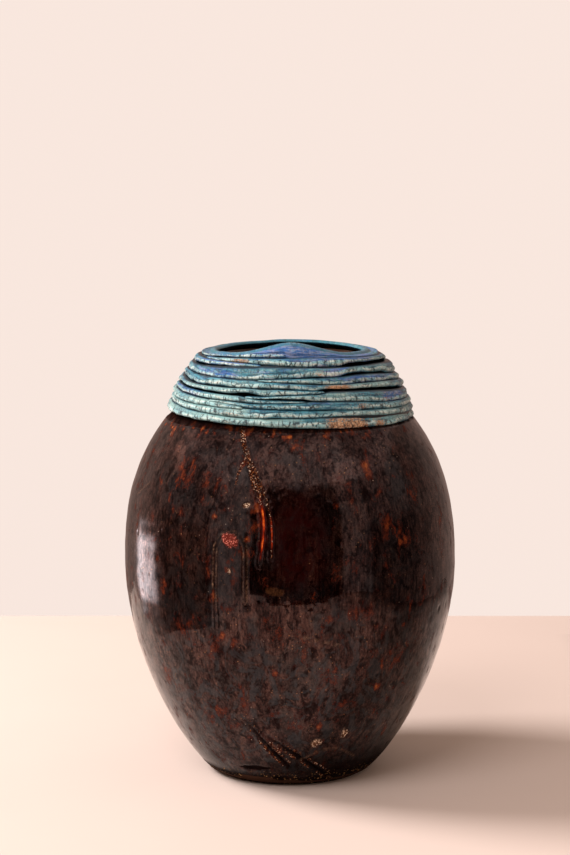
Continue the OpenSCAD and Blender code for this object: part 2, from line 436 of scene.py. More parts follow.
def strip_glaze(name, blueness):
    """Turquoise glaze that breaks to cream on the rolled edges, with a painted highlight on their tops and
    painted shade, dark blue to black, in the crevices.
    """
    material, t, shader = new_glaze(name)
    where = millimetres(t)
    laid = t.attribute("laid", "Vector")
    flow = t.noise(t.scaled(laid, (0.12, 0.12, 0.8)), 1.0, 5.0, 0.65, 0.3)
    patches = t.noise(t.scaled(laid, (0.045, 0.045, 0.16)), 1.0, 4.0, 0.6)
    drift = t.noise(t.scaled(laid, (0.075, 0.075, 0.6)), 1.0, 5.0, 0.7)
    fine = t.noise(where, 1.5, 4.0, 0.7)
    tiny = t.noise(where, 3.2, 2.0, 0.7)

    colour = t.mix(t.ramp(flow, 0.42, 0.57), DEEP_TURQUOISE, TURQUOISE)
    pale = t.plus(t.times(patches, 0.6), t.times(fine, 0.4))
    pale = t.plus(pale, t.times(t.attribute("pale"), 0.16))
    colour = t.mix(t.times(t.ramp(pale, 0.50, 0.66), 0.85), colour, PALE_TURQUOISE)

    cobalt = t.plus(t.times(t.attribute("cobalt"), 0.24), t.times(drift, 0.8))
    cobalt = t.plus(cobalt, t.times(fine, 0.2))
    violet = t.mix(t.ramp(flow, 0.50, 0.56), COBALT, VIOLET)
    colour = t.mix(t.ramp(cobalt, 0.59 - blueness, 0.66 - blueness, 0.0, 0.9), colour, violet)
    colour = t.mix(t.times(t.attribute("lip"), 0.7), colour, LIP_TEAL)

    # The mask on the bead tops is partly the glaze breaking pale on the edges and partly a painted highlight
    # where they face up.
    crest = t.plus(t.times(t.attribute("crest"), 0.72), t.times(t.minus(fine, 0.5), 1.5))
    crest = t.plus(crest, t.times(t.minus(patches, 0.5), 1.3))
    cream = t.mix(t.ramp(flow, 0.44, 0.58), EDGE_TEAL, EDGE_CREAM)
    colour = t.mix(t.ramp(crest, 0.38, 0.74, 0.0, 0.95), colour, cream)

    rust = t.times(t.attribute("rust"), t.ramp(t.attribute("crest"), 0.0, 0.6, 0.4, 1.0))
    rust = t.plus(rust, t.times(t.minus(fine, 0.5), 4.0))
    rusty = t.mix(t.ramp(tiny, 0.38, 0.48), PATCH_DARK, PATCH_RUST)
    rusty = t.mix(t.ramp(tiny, 0.52, 0.60), rusty, PATCH_BUFF)
    colour = t.mix(t.ramp(rust, 0.52, 0.72), colour, rusty)

    crackle = crackle_net(t, laid, where)
    colour = t.mix(t.times(t.most(crackle, t.attribute("tick")), 0.88), colour, CRACKLE_DARK)
    pores = t.times(t.ramp(t.cells(where, 0.9), 0.22, 0.08), t.ramp(fine, 0.48, 0.6))
    colour = t.mix(pores, colour, PORE_DARK)
    # Painted shade: dark blue, then black, in the crevices, under the beads and on the hidden inner faces.
    deep = t.attribute("deep")
    colour = t.mix(t.ramp(deep, 0.0, 0.6), colour, PAINTED_SHADE_BLUE)
    colour = t.mix(t.ramp(deep, 0.5, 1.0), colour, PAINTED_SHADE_BLACK)

    relief = t.plus(t.times(fine, 0.8), t.times(flow, 0.5))
    relief = t.minus(relief, t.times(crackle, 0.5))
    t.fill(shader, {
        "Base Color": colour, "Roughness": t.ramp(fine, 0.3, 0.7, 0.30, 0.55),
        "Normal": t.bump(relief, 0.4, 0.7), "Coat Weight": 0.3, "Coat Roughness": 0.12,
    })
    return material


# ---------------------------------------------------------------- body

def cad_wall(name):
    """Heights up a CAD node, and its outer and inner radius at each of them, read off its mesh."""
    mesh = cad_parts[name].data
    tree = BVHTree.FromPolygons([v.co for v in mesh.vertices], [p.vertices for p in mesh.polygons])
    low, high = (corner.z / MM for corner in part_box(name))
    heights = np.arange(low + 0.1, high, 0.5)
    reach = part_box(name)[1].x * 2

    def radius(start, direction, height):
        hit = tree.ray_cast(Vector((0, start, height * MM)), Vector((0, direction, 0)))[0]
        return 0.0 if hit is None else -hit.y / MM

    outer = np.array([radius(-reach, 1, h) for h in heights])
    inner = np.array([radius(0, -1, h) for h in heights])
    return heights, outer, inner


def softened(values, width):
    """Values smoothed over a window of 2 * width + 1 samples, with the ends kept."""
    kernel = np.hanning(2 * width + 3)
    kernel /= kernel.sum()
    padded = np.pad(values, len(kernel) // 2, mode="reflect", reflect_type="odd")
    return np.convolve(padded, kernel, mode="valid")


heights, outer_wall, inner_wall = cad_wall("body")
SEAT = float(heights[np.argmax(outer_wall[1:] - outer_wall[:-1] < -0.8)])
smooth_part = heights < SEAT - 0.5
outer_wall[smooth_part] = softened(outer_wall[smooth_part], 5)
BODY_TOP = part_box("body")[1].z / MM
INNER_FLOOR = float(heights[np.argmax(inner_wall > 1)])
FOOT = float(outer_wall[0])


def body_radius(height):
    return np.interp(height, heights, outer_wall)


def line_gap(azimuth, height, points):
    """Distance over the wall to a smooth line through points, and how far along it that is, from 0 to 1."""
    line = smooth_line(points)
    per_degree = np.radians(1) * body_radius(height)
    best = np.full(azimuth.shape, 99.0)
    share = np.zeros(azimuth.shape)
    near = (azimuth > line[:, 0].min() - 12) & (azimuth < line[:, 0].max() + 12)
    near &= (height > line[:, 1].min() - 12) & (height < line[:, 1].max() + 12)
    a_here, h_here, scale = azimuth[near], height[near], per_degree[near]
    local_best, local_share = best[near], share[near]
    for i, (p, q) in enumerate(zip(line[:-1], line[1:])):
        px, pz = (p[0] - a_here) * scale, p[1] - h_here
        dx, dz = (q[0] - p[0]) * scale, q[1] - p[1]
        t = np.clip(-(px * dx + pz * dz) / (dx * dx + dz * dz + 1e-9), 0, 1)
        gap = np.hypot(px + t * dx, pz + t * dz)
        closer = gap < local_best
        local_best = np.where(closer, gap, local_best)
        local_share = np.where(closer, (i + t) / (len(line) - 1), local_share)
    best[near], share[near] = local_best, local_share
    return best, share


def spot(azimuth, height, at, size, tilt=0.0):
    """1 at the middle of an oval mark and 0 at its edge. Size is half its width and half its height."""
    dx = wrapped(azimuth - at[0]) * np.radians(1) * body_radius(height)
    dz = height - at[1]
    c, s = math.cos(math.radians(tilt)), math.sin(math.radians(tilt))
    return np.clip(1 - np.hypot((c * dx + s * dz) / size[0], (c * dz - s * dx) / size[1]), 0, 1)


def arch(middle, half_width, crown, left_foot, right_foot):
    """Points of an arch: a leg on each side, joined by half an oval."""
    spring = crown - ARCH_RISE
    turn = np.linspace(0, math.pi, 9)
    bend = [(middle - half_width * math.cos(t), spring + ARCH_RISE * math.sin(t)) for t in turn]
    return [(middle - half_width, left_foot), *bend, (middle + half_width, right_foot)]


# Lines and marks on the body, as azimuth and height in round numbers, roughly where the real vase has them.
# Lines run smoothly through their points.
CRACK = [(-22, 200), (-15, 181), (-9, 156), (-10, 132)]
CRACK_BRANCH = [(-15, 183), (-7, 159), (-6, 135)]
CRACK_FEEDER = [(-17, 190), (-20, 173)]
PITTED_LINE = [(-20, 186), (-20, 150)]
LOBE_MIDDLE = -20
LOBE_CROWN = 148
ARCH_RISE = 12
LOBE = arch(LOBE_MIDDLE, 5.3, LOBE_CROWN, 98, 112)
SCARS = [[(-20, 46), (-9, 26), (2, 12)], [(-14, 38), (6, 20), (26, 5)]]
FAINT_LINES = [[(5, 19), (20, 26), (36, 18)], [(3, 94), (17, 88)], [(-71, 159), (-62, 167)]]
BLISTER = (LOBE_MIDDLE, LOBE_CROWN - 4)
CHIPS = [
    ((25, 35), (2.2, 4.0)), ((12, 30), (4.0, 2.4)),
    ((LOBE_MIDDLE, 128), (1.0, 1.5)), ((-15, 162), (2.8, 1.5)),
]
AMBER = (-5, 118)
POOL = [(-30, 12), (-10, 13)]
# The pits on the right side: how many, and the patch that they lie in
SIDE_PITS = 6
SIDE_PATCH = ((48, 92), (70, 124))
# A few large rust marks: azimuth, height, half width and half height. The rest are scattered.
RUST_MARKS = [
    (-45, 170, 3.0, 4.0), (-55, 150, 2.0, 5.5), (30, 178, 3.0, 6.0),
    (-20, 90, 4.5, 4.0), (-30, 48, 2.5, 7.0), (35, 62, 2.5, 4.0),
]
SCATTERED_MARKS = 96
SCATTERED_PITS = 160
SMALL_BUMPS = 150


def ridge(gap, offset, width):
    """A soft ridge at an offset from a line."""
    return np.exp(-(((gap - offset) / width) ** 2))


def more(masks, key, values):
    """Strengthens a mask wherever the values are higher."""
    masks[key] = np.maximum(masks.get(key, 0.0), values)


def crack_details(a, h, grain, coarse, relief, masks):
    """The forked crack: grains along it at the top, glowing glass in it lower down."""
    main_gap, _ = line_gap(a, h, CRACK)
    branch_gap, _ = line_gap(a, h, CRACK_BRANCH)
    feeder_gap, _ = line_gap(a, h, CRACK_FEEDER)
    pit_gap, _ = line_gap(a, h, PITTED_LINE)
    ragged = 1 + 0.4 * coarse
    gap = np.minimum(main_gap, branch_gap)
    below = ease(170, 158, h)
    relief += -0.7 * ridge(gap, 0, 0.6 * ragged) + 0.4 * ridge(gap, 1.5, 0.8 * ragged) * (0.6 + 0.6 * grain)
    crust = ridge(gap, 0, 1.5 * ragged) * (1 - below) + 0.55 * below * ridge(branch_gap, 0, 0.55)
    crust = np.maximum(crust, 0.55 * ridge(feeder_gap, 0, 0.9))
    crust = np.maximum(crust, 0.45 * ridge(pit_gap, 0, 0.8) * (0.6 + 0.5 * coarse))
    relief += 0.3 * crust * grain
    masks["crust"] = np.clip(crust * (0.75 + 0.6 * grain), 0, 1)

    span = ease(172, 160, h) * ease(130, 142, h)
    ember = (0.8 + 0.35 * coarse) * ridge(main_gap, 0.1, 0.36) + 0.24 * ridge(main_gap, 0.6, 1.9 * ragged)
    branch_span = ease(162, 154, h) * ease(134, 144, h)
    ember = np.maximum(ember * span, 0.8 * ridge(branch_gap, 0.1, 0.4) * branch_span)
    masks["ember"] = np.clip(ember * (0.85 + 0.3 * coarse), 0, 1)
    edges = np.maximum(ridge(branch_gap, 0.9, 0.45), ridge(main_gap, 1.8, 0.5) * ease(160, 168, h))
    masks["cut"] = 0.9 * edges * (0.7 + 0.3 * coarse)
    masks["clear"] = ease(0, 0.6, spot(a, h, (3, 143), (21, 36)))


def lobe_details(a, h, grain, coarse, relief, masks):
    """The finger-shaped lobe left of the crack, with matt glaze in it, and the faint lines elsewhere."""
    lobe_gap, _ = line_gap(a, h, LOBE)
    relief += 0.22 * ridge(lobe_gap, 0, 0.7) - 0.18 * ridge(lobe_gap, 1.1, 0.5)
    in_width = ease(-25.5, -24, a) * ease(-14, -15.5, a)
    inside_lobe = in_width * ease(150, 146, h) * ease(95, 125, h)
    in_width = ease(-24, -20, a) * ease(-13, -16, a)
    beside_crack = in_width * ease(145, 152, h) * ease(200, 190, h)
    relief += 0.2 * inside_lobe
    masks["matt"] = np.maximum(inside_lobe, 0.8 * beside_crack)
    double = ridge(lobe_gap, 1.0, 0.42)
    lines = double * (0.55 + 0.45 * grain) * (0.75 + 0.7 * coarse) * ease(100, 120, h)
    more(masks, "cut", ridge(lobe_gap, 0, 0.6) * (0.7 + 0.3 * coarse) * ease(98, 115, h))
    for points in FAINT_LINES:
        faint_gap, _ = line_gap(a, h, points)
        lines = np.maximum(lines, 0.4 * ridge(faint_gap, 0, 0.5))
        relief += 0.12 * ridge(faint_gap, 0, 1.2)
    masks["line"] = np.clip(lines, 0, 1)


def scar_details(a, h, grain, coarse, relief, masks):
    """The two long scars at the foot, with golden grains beside them."""
    ragged = 1 + 0.4 * coarse
    for points in SCARS:
        scar_gap, scar_share = line_gap(a, h, points)
        fade = np.sin(np.pi * np.clip(scar_share, 0.04, 0.96))
        relief += fade * (-1.2 * ridge(scar_gap, 0, 1.0) + 0.6 * ridge(scar_gap, 2.0, 0.9))
        more(masks, "cut", np.minimum(1.6 * fade, 1) * ridge(scar_gap, 0, 1.2 * ragged))
        golden = fade * ridge(scar_gap, 1.9, 0.75) * ease(-0.3, 0.4, grain + 0.5 * coarse)
        more(masks, "crust", golden)


def spot_details(a, h, grain, coarse, relief, masks):
    """The blister, the chips and the rust marks."""
    blister = spot(a, h, BLISTER, (5.6, 3.8), -28)
    blister = np.where(blister > 0, np.clip(blister + 0.08 * coarse - 0.04, 0, 1), 0)
    relief += 0.7 * ease(0, 0.35, blister) + 0.3 * blister * grain
    masks["salmon"] = ease(0.02, 0.16, blister + 0.09 * grain * (blister > 0))

    chips = np.zeros(a.shape)
    for at, size in CHIPS:
        chips = np.maximum(chips, spot(a, h, at, size, 20))
    relief -= 0.35 * ease(0, 0.4, chips)
    masks["chip"] = ease(0.1, 0.4, chips + 0.2 * grain * (chips > 0))

    rust = np.zeros(a.shape)
    rng = np.random.default_rng(8)
    scattered = [rng.uniform((-180, 12, 0.9, 1.5), (180, 196, 2.2, 4.0)) for _ in range(SCATTERED_MARKS)]
    for mark in [*RUST_MARKS, *scattered]:
        rust = np.maximum(rust, ease(0, 0.8, spot(a, h, mark[:2], (1.5 * mark[2], 1.4 * mark[3]))))
    under_collar = ease(192, 197, h) * ease(-0.1, 0.5, around(a, h, 2.0, 12))
    under_collar = under_collar * bands(a, [(-90, 40, 1.0), (120, 200, 0.7)])
    masks["rust"] = np.maximum(rust, 1.2 * under_collar)
    relief += 0.1 * rust * coarse


def pit_details(a, h, _, coarse, relief, masks):
    """Pits, small bumps above the belly, the crescent hollow with a painted dark reflection, and painted
    shadow under the collar.
    """
    rng = np.random.default_rng(21)
    pits = [(rng.uniform(*SIDE_PATCH), rng.uniform(0.9, 1.7)) for _ in range(SIDE_PITS)]
    pits += [
        ((rng.uniform(-180, 180), rng.uniform(8, 195)), rng.uniform(0.5, 1.1)) for _ in range(SCATTERED_PITS)
    ]
    for at, size in pits:
        relief -= 0.3 * ease(0, 0.8, spot(a, h, at, (size, size * 1.6)))
    for _ in range(SMALL_BUMPS):
        at = (rng.uniform(-40, 30), rng.uniform(100, 190))
        relief += 0.22 * ease(0, 0.9, spot(a, h, at, (0.8, 0.8)))
    pool_gap, pool_share = line_gap(a, h, POOL)
    pool = ease(-0.3, 0.3, 1.6 * np.sin(np.pi * pool_share) - pool_gap)
    relief -= 0.4 * pool
    # The crescent hollow is painted black and dull: a painted dark reflection.
    more(masks, "cut", pool)
    # Painted shadow: a black line just under the collar, and black over the neck above the seat, behind the
    # strips.
    more(masks, "cut", ease(SEAT - 0.6, SEAT + 0.3, h + 0.3 * coarse))
    masks["amber"] = ease(0.05, 0.3, spot(a, h, AMBER, (6.0, 3.0), -10) + 0.1 * coarse)


def body_details(azimuth, height):
    """Relief in mm and the masks that the glaze reads, at each point of the outer wall."""
    a, h = azimuth, height
    grain = around(a, h, 1.1, 5)
    coarse = around(a, h, 2.6, 6)
    relief = 0.22 * around(a, h, 34, 1, 0.9) + 0.09 * around(a, h, 13, 2, 0.8)
    relief += 0.03 * np.sin(h * 0.55 + 1.5 * around(a, h, 60, 3)) + 0.035 * around(a, h, 8, 7, 0.7)
    relief += 0.012 * around(a, h, 4, 4, 2.0) + 0.012 * around(a, h, 3.4, 8)
    masks = {}
    for add_details in (crack_details, lobe_details, scar_details, spot_details, pit_details):
        add_details(a, h, grain, coarse, relief, masks)
    return relief, masks


def bands(azimuth, pieces):
    """Sum of soft-edged stretches, each given as first azimuth, last azimuth and amount."""
    total = np.zeros(azimuth.shape)
    for first, last, amount in pieces:
        middle, half = (first + last) / 2, (last - first) / 2
        total += amount * ease(half + 4, half - 4, np.abs(wrapped(azimuth - middle)))
    return total


def body_rows():
    """Radius and height from the middle of the foot, up the outside and down the inside of the body.

    Also gives where the rows of the outer wall start and end.
    """
    k = BODY_COARSENESS
    outer = np.concatenate([
        [0.1, 0.4, 0.9, 1.5], np.arange(2.3, 24, 0.9 * k), np.arange(24, 100, 1.5 * k),
        np.arange(100, 150, 0.9 * k), np.arange(150, SEAT, 0.7 * k),
        [SEAT, SEAT + 2.5, SEAT + 5], np.arange(SEAT + 6.5, BODY_TOP - 1, 3.0),
    ])
    inner = np.concatenate([
        [BODY_TOP - 0.3], np.arange(BODY_TOP - 3, 150, -3.0), np.arange(150, INNER_FLOOR + 8, -6.0),
        INNER_FLOOR + np.array([6, 4, 2.5, 1.4, 0.6]),
    ])
    rows = [(r, 0.0) for r in (FOOT * 0.35, FOOT * 0.7, FOOT * 0.93, FOOT - 0.4)]
    rows += [(float(body_radius(z)), z) for z in outer]
    rows += [(float(body_radius(BODY_TOP - 0.3)) - 0.4, BODY_TOP)]
    rows += [(float(np.interp(z, heights, inner_wall)), z) for z in inner]
    rows += [(FOOT * share, INNER_FLOOR) for share in (0.6, 0.3)]
    return np.array(rows), 4, 4 + len(outer)


def body_columns():
    """Azimuths of the mesh's columns, closest together where the front has its fine marks."""
    k = BODY_COARSENESS
    return np.concatenate([
        np.arange(-75, -28, 0.6 * k), np.arange(-28, -3, 0.3 * k), np.arange(-3, 45, 0.6 * k),
        np.arange(45, 75, 0.8 * k), np.arange(75, 285, 3.0 * k),
    ])


def make_body(material):
    rows, first_outer, end_outer = body_rows()
    columns = wrapped(body_columns())
    radius = np.repeat(rows[:, :1], len(columns), 1)
    height = np.repeat(rows[:, 1:], len(columns), 1)
    azimuth = np.repeat(columns[None], len(rows), 0)
    shown = slice(first_outer, end_outer)
    relief, masks = body_details(azimuth[shown].ravel(), height[shown].ravel())
    keep = ease(BODY_TOP, SEAT, height[shown]) * ease(0.2, 2.5, height[shown])
    radius[shown] += relief.reshape(keep.shape) * keep
    points = place(azimuth, radius, height).reshape(-1, 3)
    points = np.vstack([points, [[0, 0, 0], [0, 0, INNER_FLOOR]]])

    attributes = {key: np.zeros(len(points)) for key in (*masks, "inside")}
    span = slice(first_outer * len(columns), end_outer * len(columns))
    for key, values in masks.items():
        attributes[key][span] = values
    attributes["inside"][end_outer * len(columns):] = 1

    n, m = len(rows), len(columns)
    i, j = np.meshgrid(np.arange(n - 1), np.arange(m), indexing="ij")
    after = (j + 1) % m
    quads = np.stack([i * m + j, i * m + after, (i + 1) * m + after, (i + 1) * m + j], -1).reshape(-1, 4)
    ring = np.arange(m)
    foot = [(n * m, int(b), int(a)) for a, b in zip(ring, np.roll(ring, -1))]
    last = ring + (n - 1) * m
    floor = [(n * m + 1, int(a), int(b)) for a, b in zip(last, np.roll(last, -1))]
    return make_object("vase_body", points, quads.tolist() + foot + floor, attributes, material)


# ---------------------------------------------------------------- collar

# The CAD outlines are smoothed over this many degrees either side
SOFTENING_DEG = 5


class Outline:
    """Edges and radii of a CAD strip, all round it or from its first end to its last."""

    def __init__(self, name):
        azimuth, radius, height = cad_points(name)
        stops = np.unique(np.round(azimuth, 1) % 360)
        gaps = np.diff(np.append(stops, stops[0] + 360))
        widest = int(np.argmax(gaps))
        self.closed = gaps[widest] < 12
        if not self.closed:
            stops = np.roll(stops, -widest - 1)
            stops = np.where(stops < stops[0], stops + 360, stops)
        self.rows = []
        for stop in stops:
            here = np.abs(wrapped(azimuth - stop)) < 0.06
            z, r = height[here], radius[here]
            self.rows.append((z.min(), z.max(), r.min(), r.max()))
        if self.closed:
            stops = np.append(stops, stops[0] + 360)
            self.rows.append(self.rows[0])
        count = max(8, round((stops[-1] - stops[0]) / STRIP_STEP))
        first = stops[0] + 180 if self.closed else stops[0]
        self.azimuth = np.linspace(first, first + stops[-1] - stops[0], count + 1)
        if self.closed:
            self.azimuth = self.azimuth[:-1]
        at = self.azimuth % 360 if self.closed else self.azimuth
        self.low, self.high, self.inner, self.outer = (
            self.softened(np.interp(at, stops, column)) for column in zip(*self.rows)
        )

    def softened(self, values):
        width = round(SOFTENING_DEG / STRIP_STEP)
        if not self.closed:
            return softened(values, width)
        thrice = softened(np.concatenate([values, values, values]), width)
        return thrice[len(values): 2 * len(values)]

    def low_at(self, azimuth):
        """The lower edge at other azimuths. It is infinite where the strip is missing."""
        on = self.azimuth[0] + (azimuth - self.azimuth[0]) % 360
        last = self.azimuth[0] + 360 if self.closed else self.azimuth[-1]
        return np.where(on <= last, np.interp(on, self.azimuth, self.low), np.inf)

    def reach_up(self, others):
        """Raises the upper edge where the strip above has ended, towards the next one still there."""
        top = np.full(self.azimuth.shape, np.inf)
        for other in others:
            top = np.minimum(top, other.low_at(self.azimuth))
        self.high = self.high + 0.9 * self.softened(np.clip(top - self.high, 0, 4))


# What sets each strip apart, as stretches of azimuth and an amount: open gaps under it in mm, cobalt,
# rust and pale glaze, a chewed edge, and where it joins its neighbour without a crevice
STRIP_CHARACTER = {
    1: {
        "pale": [(-90, 5, 1.0), (40, 90, 0.6)], "rust": [(17, 37, 1.25), (42, 48, 1.0)],
        "chew": [(14, 38, 1.0)],
    },
    2: {"pale": [(-90, -20, 0.9), (30, 90, 0.5)], "rust": [(-32, -25, 0.4)]},
    3: {"pale": [(-90, -15, 1.0)]},
    4: {"pale": [(-50, -20, 0.6)], "rust": [(33, 38, 0.7)]},
    5: {"gap": [(-60, 0, 0.3)], "cobalt": [(-80, -50, 0.6)], "pale": [(-75, -15, 0.5)]},
    6: {"gap": [(-15, 9, 1.1)], "cobalt": [(50, 70, 0.8)], "rust": [(50, 56, 0.5), (8, 18, 0.3)]},
    7: {"gap": [(-80, -15, 1.3)], "pale": [(-70, -10, 0.6)]},
    8: {"gap": [(15, 75, 1.4)], "rust": [(19, 31, 1.6)], "pale": [(20, 60, 0.6)], "chew": [(18, 31, 0.4)]},
    9: {"cobalt": [(28, 75, 0.7)], "gap": [(-70, -30, 0.4)]},
    10: {
        "gap": [(30, 65, 1.0)], "cobalt": [(-80, 80, 0.25), (18, 34, 0.6), (-60, -30, 0.4)],
        "rust": [(14, 19, 0.5)],
    },
    11: {"cobalt": [(-62, -30, 1.0), (-80, 80, 0.35)], "gap": [(-75, -40, 0.8)]},
    12: {
        "gap": [(34, 80, 2.0)], "cobalt": [(-80, 80, 0.3), (5, 60, 0.4)], "rust": [(-38, -26, 0.8)],
        "pale": [(-60, -30, 0.5)], "joined": [(-2, 85, 1.0)],
    },
    13: {"cobalt": [(-70, 70, 0.35), (-20, 20, 0.2)], "gap": [(-60, -40, 0.5)], "joined": [(-2, 85, 1.0)]},
}


def tick_field(along, number):
    """Random cross cuts on a rolled edge: 1 in the middle of each one. Along is in mm."""
    rng = np.random.default_rng(100 + number)
    field = np.zeros(along.shape)
    at = along.min()
    while at < along.max():
        at += rng.uniform(1.0, 6.0)
        width = rng.uniform(0.25, 0.45)
        field = np.maximum(field, rng.uniform(0.2, 1.0) ** 2 * np.exp(-(((along - at) / width) ** 2)))
    return field


RIM_NUMBER = 13
BEAD_POINTS = 11
FACE_POINTS = 7
RIM_POINTS = 9
# Radius of the rolled bead, where its top is in bead radii, how far a face reaches up behind the next strip,
# and the rounding of a strip's ends
BEAD_MM = 1.65
BEAD_TOP = 1.88
FACE_OVERLAP = 0.35
END_ROUNDING = 2.4


def make_strip(name, line, number, material):
    """One strip: a rolled bead at its lower edge, and a face that tucks in under the next strip."""
    character = STRIP_CHARACTER[number]
    azimuth = line.azimuth
    ring = Ring(azimuth)
    full = line.high - line.low
    gap = bands(azimuth, character.get("gap", []))
    gap = gap + np.maximum(0.5 * ring.noise(8, 33 + number) - 0.1, 0)
    low = line.low + np.minimum(gap, 0.5 * full) + 0.2 * ring.noise(7, 37 + number)
    tall = np.maximum(line.high - low, 0.3)
    bead = BEAD_MM * (1 + 0.3 * ring.noise(14, 50 + number) + 0.12 * ring.noise(4, 55 + number))
    bead = np.minimum(bead, tall * 0.48)
    wander = 0.6 * ring.noise(11, 31, number) + 0.25 * ring.noise(3.7, 32, number)
    outer = line.outer + np.where(full > 1.2, wander, 0) - 0.2
    apart = 1 - bands(azimuth, character.get("joined", []))
    face = np.maximum(tall + FACE_OVERLAP - BEAD_TOP * bead, 0)
    wide = np.clip(face / 2.0, 0, 1)

    # The hidden inner points are painted fully in shade.
    ring.add(line.inner, low + 0.1, deep=1, across=-6)
    ring.add(outer - bead - 1.2, low + 0.02, deep=1, across=-3)
    chew = bands(azimuth, character.get("chew", []))
    slant = 0.5 * ring.noise(6, 60 + number)
    ring.add_bead(line, outer, low, bead, number, 80 + number, slant, chew)
    tuck = 0.4 * bead + (0.3 + 0.7 * apart) * (1.15 + 0.6 * ring.noise(14, 70 + number))
    for i in range(1, FACE_POINTS + 1):
        t = i / FACE_POINTS
        ripple = 0.16 * ring.noise(5, 90 + number, 2 * t) + 0.07 * ring.noise(1.9, 95 + number, 4 * t)
        radius = outer - 0.6 * bead - tuck * t ** 1.8 + wide * (0.3 * math.sin(math.pi * t) + ripple)
        # Painted shade grows towards the top of the face, where it tucks under the next strip.
        shadow = wide * ease(0.62, 1.0, t) + (1 - wide) * ease(0.25, 1.0, t)
        ring.add(
            radius, low + BEAD_TOP * bead + face * t, crest=0.3 * wide * math.sin(math.pi * t),
            across=4 + face * t, deep=shadow * (0.2 + 0.8 * apart),
        )
    ring.add(np.maximum(line.inner, outer - bead - 3.0), line.high + FACE_OVERLAP, deep=1, across=9)
    ring.add(line.inner, line.high + 0.1, deep=1, across=10)

    if not line.closed:
        middle = np.stack([outer - bead * 1.2, low + 0.45 * tall], -1)[:, None]
        to_end = np.minimum(azimuth - azimuth[0], azimuth[-1] - azimuth) * np.radians(1) * line.outer
        ring.shrink(middle, np.sqrt(1 - (1 - np.clip(to_end / END_ROUNDING, 0.02, 1)) ** 2))
    return ring.finish(name, line, character, number, material)


def arc(first, last, count):
    """The index, angle, cosine and sine of each of some angles, evenly spaced."""
    for i, angle in enumerate(np.linspace(first, last, count)):
        yield i, angle, math.cos(math.radians(angle)), math.sin(math.radians(angle))


class Ring:
    """The section of a strip at every azimuth, gathered a point at a time, with the masks for its glaze."""

    def __init__(self, azimuth):
        self.azimuth = azimuth
        self.points = []
        self.masks = {"crest": [], "deep": [], "tick": [], "lip": [], "across": []}

    def add(self, radius, height, **masks):
        still = 0 * self.azimuth
        self.points.append(np.stack([radius + still, height + still], -1))
        for key, store in self.masks.items():
            store.append(masks.get(key, 0) + still)

    def noise(self, size, seed, row=0):
        return ring_noise(self.azimuth, size, row + 0 * self.azimuth, seed)

    def add_bead(self, line, outer, low, bead, number, seed, slant=0, chew=0, ticked=1, lit=1, shaded=1):
        """The rolled bead: lumpy, crossed by ticks, and crumbled where it is chewed."""
        along = np.radians(self.azimuth) * line.outer
        for i, angle, c, s in arc(-88, 62, BEAD_POINTS):
            tick = tick_field(along + slant * (i - 5), number) * max(c, 0) ** 0.5 * ticked
            lump = 1 + 0.14 * self.noise(2.6, seed, i / 3) - 0.25 * tick
            crumble = 0.5 * chew * self.noise(1.3, 85, i / 2)
            # The top of the bead gets a painted highlight, and its underside painted shade.
            self.add(
                outer - bead + bead * (lump + crumble) * c, low + bead + bead * s,
                crest=lit * math.exp(-(((angle - 12) / 58) ** 2)), deep=ease(-38, -92, angle) * shaded,
                tick=tick, across=i * 0.35,
            )

    def shrink(self, middle, share):
        points = np.stack(self.points, 1)
        points = middle + (points - middle) * share[:, None, None]
        self.points = list(np.moveaxis(points, 1, 0))

    def finish(self, name, line, character, number, material):
        """The strip's mesh: a sweep of the section, closed on itself or capped at both ends."""
        rings = np.stack(self.points, 1)
        columns, sides = rings.shape[:2]
        masks = {key: np.stack(store, 1) for key, store in self.masks.items()}
        azimuth = np.repeat(self.azimuth[:, None], sides, 1)
        points = place(azimuth, rings[..., 0], rings[..., 1]).reshape(-1, 3)
        angle = np.radians(azimuth)
        laid = [RING_MM * np.sin(angle), -RING_MM * np.cos(angle), masks.pop("across") + number * 37.0]
        attributes = {key: values.ravel() for key, values in masks.items()}
        attributes["laid"] = np.stack(laid, -1).reshape(-1, 3)
        for key in ("cobalt", "rust", "pale"):
            attributes[key] = np.repeat(bands(self.azimuth, character.get(key, [])), sides)

        runs = columns if line.closed else columns - 1
        i, j = np.meshgrid(np.arange(runs), np.arange(sides), indexing="ij")
        right, up = (i + 1) % columns, (j + 1) % sides
        quads = np.stack([i * sides + j, i * sides + up, right * sides + up, right * sides + j], -1)
        faces = quads.reshape(-1, 4).tolist()
        if not line.closed:
            faces.append(list(range(sides - 1, -1, -1)))
            faces.append([(columns - 1) * sides + k for k in range(sides)])
        return make_object(name, points, faces, attributes, material)


